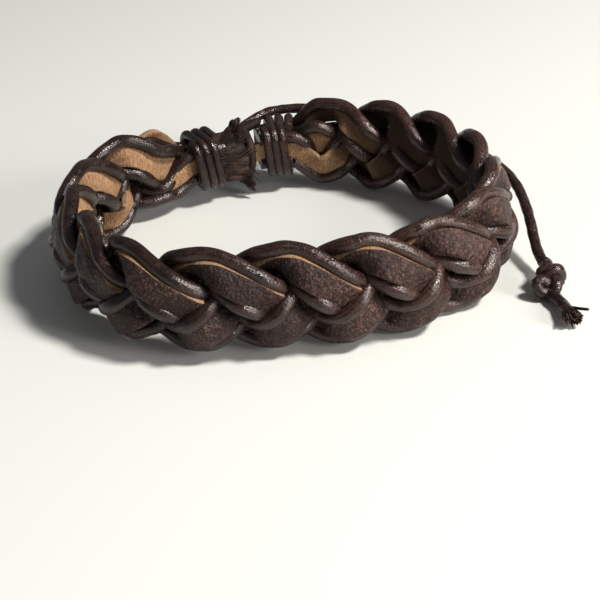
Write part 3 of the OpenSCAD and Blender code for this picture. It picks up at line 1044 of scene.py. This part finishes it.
# The cut and frayed ends
fray = {
    "far": 3.4,  # past the middle of the last binding
    "seed": 7,
    "locks": [  # start, end, width at both, fibres, how far they fan out
        ((-1.0, 8.4, -0.8), (2.6, 10.9, -0.7), 3.4, 2.9, 110, 0.10),
        ((-1.7, 7.4, -1.0), (4.6, 8.0, -1.2), 4.8, 4.6, 110, 0.05),
        ((-1.7, 5.2, -1.0), (4.6, 5.0, -1.2), 4.4, 4.2, 110, 0.05),
        ((-1.6, 7.2, -2.1), (3.6, 9.2, -2.6), 2.6, 2.5, 60, 0.08),
        ((-1.6, 5.2, -2.1), (4.0, 6.4, -3.0), 2.6, 2.3, 60, 0.08),
        ((-0.8, 7.0, 1.3), (3.8, 7.6, 1.5), 2.8, 2.4, 100, 0.10),
        ((-0.8, 5.0, 1.2), (3.8, 4.8, 1.3), 2.6, 2.2, 90, 0.10),
        ((0.6, 8.8, -1.0), (4.4, 10.4, -1.0), 3.4, 3.2, 90, 0.05),
        ((1.3, 8.8, -0.7), (4.0, 11.6, -0.4), 4.2, 4.6, 260, 0.13),
        ((1.8, 4.6, -2.0), (4.9, 2.8, -2.9), 2.3, 2.8, 110, 0.2),
    ],
    "looseFan": 0.12,
    "brushyFan": 0.2,
    "fanned": 4,
    # In each lock is a core: its share of the width and length, and the length of the shortest clump round it
    "tightCore": (0.93, 0.97, 0.82),
    "looseCore": (0.80, 0.72, 0.62),
    "coreRings": 12,
    "coreSides": 20,
    "coreEnds": (1.02, 0.45, 0.62, 4, 0.05),
    "coreWaves": [(0.05, 7, 1, 0), (0.035, 12, -1, 2)],
    "clump": {"fibres": 9, "lift": (0.94, 1.08), "swirl": (-1.1, 1.4), "bend": 0.32, "longest": 1.08},
    "fibre": {
        "rings": 9,
        "sides": 5,
        "radius": 0.13,
        "thick": (0.6, 1.35),
        "tip": 0.6,
        "angle": 0.17,
        "lift": (0.90, 1.02),
        "reach": (0.93, 1.04),
        "swirl": (-0.35, 0.35),
        "bend": 0.12,
        "drawnIn": (0.28, 0.75),  # how far the tips draw in, and from what share of the way
    },
    "loop": [  # the end of a cord that bends over the bunch
        (4.0, 11.2, -1.2), (4.5, 9.6, -2.3), (4.7, 7.4, -2.8),
        (4.5, 5.2, -2.6), (4.0, 3.4, -1.8), (3.0, 2.4, -0.6),
    ],
    "loopRadius": 0.78,
    "loopSteps": 8,
    "loopSides": 16,
    "loopWaves": [(0.06, 5, 2, 0)],
    "stubs": [  # cut ends of twisted cord among the fibres: start, end, radius
        ((1.2, 6.9, -2.7), (4.1, 6.5, -3.2), 0.8), ((0.8, 5.1, -2.8), (3.9, 4.9, -3.3), 0.85),
        ((-1.2, 8.7, -2.1), (2.1, 9.5, -2.6), 0.8), ((-0.6, 3.9, -2.4), (2.6, 3.7, -2.9), 0.75),
        ((2.6, 10.4, -0.9), (7.4, 12.1, 0.1), 0.8),
    ],
    "stubRings": 14,
    "stubSides": 16,
    "stubEnds": (1.05, 0.5, 0.5, 6, 0.1),
    "stubSway": (0, 0.25, 0),
    "stubPlied": (1.4, 1.6),  # how much deeper and tighter its strands are than the pull cord's
}


def placedLine(rows):
    return spotOf(lastWrapFar + fray["far"] + rows[:, 0], rows[:, 1], rows[:, 2]) + loopShift


def roundEnds(t, top, middle, reach, power, least):
    # How full a core or a stub is at a share of its way, with both ends rounded off
    return np.sqrt(np.clip(top - ((t - middle) / reach) ** power, least, 1))


def lumpy(angle, along):
    return waves(0, angle, along, fray["coreWaves"])


def knobbly(angle, along):
    return waves(0, angle, along, fray["loopWaves"])


def twisted(angle, along):
    deeper, tighter = fray["stubPlied"]
    return deeper * plied(angle, tighter * along)


def addLock(skins, rng, start, end, wideStart, wideEnd, fibres, fan):
    loose = fan >= fray["looseFan"]
    core, reached, ragged = fray["looseCore" if loose else "tightCore"]
    t = np.linspace(0, 1, fray["coreRings"])[:, None]
    line = placedLine(start + (end - start) * reached * t)
    radii = (wideStart + (wideEnd - wideStart) * t[:, 0]) / 2 * core
    radii = radii * roundEnds(t[:, 0], *fray["coreEnds"])
    roundTube(skins, line, upward, radii, fray["coreSides"], lumpy)
    clump, fibre = fray["clump"], fray["fibre"]
    drawn, drawnFrom = fibre["drawnIn"]
    t = np.linspace(0, 1, fibre["rings"])[:, None]
    thinned = np.linspace(1.0, fibre["tip"], fibre["rings"])
    wide = wideStart * (1 - t) + wideEnd * t + fan * fray["fanned"] * t**2
    bow = 1 - drawn * np.clip(t - drawnFrom, 0, 1) / (1 - drawnFrom) * (fan < fray["brushyFan"])
    for i in range(fibres):
        if i % clump["fibres"] == 0:
            heart, lift = rng.uniform(0, 2 * np.pi), rng.uniform(*clump["lift"])
            swirl, bend = rng.uniform(*clump["swirl"]), rng.normal(0, clump["bend"], 3)
            length = rng.uniform(ragged, clump["longest"])
        angle, share = heart + rng.normal(0, fibre["angle"]), lift * rng.uniform(*fibre["lift"])
        reach, twist = length * rng.uniform(*fibre["reach"]), swirl + rng.uniform(*fibre["swirl"])
        curl = bend + rng.normal(0, fibre["bend"], 3)
        turn = angle + twist * t[:, 0]
        side = np.stack([0 * turn, np.sin(turn), np.cos(turn)], -1) * share
        spots = start + (end - start) * t * reach + side * wide / 2 * bow
        line = placedLine(spots + curl * t**2)
        radii = fibre["radius"] * rng.uniform(*fibre["thick"]) * thinned
        roundTube(skins, line, upward, radii, fibre["sides"])


def makeFray():
    rng = np.random.default_rng(fray["seed"])
    skins = Skins()
    for start, end, *rest in fray["locks"]:
        addLock(skins, rng, np.array(start), np.array(end), *rest)
    t = np.linspace(0, 1, fray["stubRings"])[:, None]
    for start, end, radius in fray["stubs"]:
        line = np.array(start) + (np.array(end) - start) * t + np.sin(3 * t) * fray["stubSway"]
        radii = radius * roundEnds(t[:, 0], *fray["stubEnds"])
        roundTube(skins, placedLine(line), upward, radii, fray["stubSides"], twisted)
    loop = placedLine(smoothLine(fray["loop"], fray["loopSteps"]))
    sideways = loop - loop.mean(0) + (0, 0.1, 0.01)  # never quite along the cord
    roundTube(skins, loop, sideways, fray["loopRadius"], fray["loopSides"], knobbly)
    skins.build("frayedEnds", frayMaterial, "frayed_ends", "cut_ends")


makeFray()
print("bindings and frayed ends made")

# Floor and lights, in metres
room = {
    "floor": (0.80, 0.80, 0.765, 1),
    "floorSize": 6,
    "floorHeight": -0.0002,
    "floorRough": 0.8,
    "skyColour": (0.95, 0.97, 1.0, 1),
    "sky": 0.19,
    "contrast": 0.84,
    "aim": (0, 0, 0.008),
    "lights": [  # name, spot, size, power, colour
        ("windowLight", (0.44, -0.20, 0.60), 0.12, 6.6, (1.0, 0.985, 0.95)),
        ("sideLight", (0.58, -0.46, 0.28), 0.26, 3.4, (1.0, 0.97, 0.94)),
    ],
}


def makeStage():
    bpy.ops.mesh.primitive_plane_add(size=room["floorSize"], location=(0, 0, room["floorHeight"]))
    floor = bpy.context.object
    floor.name = "floor"
    material, _, shader = newMaterial("paleFloor")
    shader.inputs["Base Color"].default_value = room["floor"]
    shader.inputs["Roughness"].default_value = room["floorRough"]
    floor.data.materials.append(material)
    scene = bpy.context.scene
    scene.world = bpy.data.worlds.new("paleRoom")
    scene.world.use_nodes = True
    sky = scene.world.node_tree.nodes["Background"]
    sky.inputs["Color"].default_value = room["skyColour"]
    sky.inputs["Strength"].default_value = room["sky"]
    for name, spot, size, power, colour in room["lights"]:
        data = bpy.data.lights.new(name, "AREA")
        data.size, data.energy, data.color = size, power, colour
        light = bpy.data.objects.new(name, data)
        scene.collection.objects.link(light)
        light.location = spot
        light.rotation_euler = (Vector(room["aim"]) - Vector(spot)).to_track_quat("-Z", "Y").to_euler()
    scene.view_settings.view_transform = "Standard"
    scene.view_settings.look = "None"
    scene.view_settings.gamma = room["contrast"]


makeStage()

print("all made")
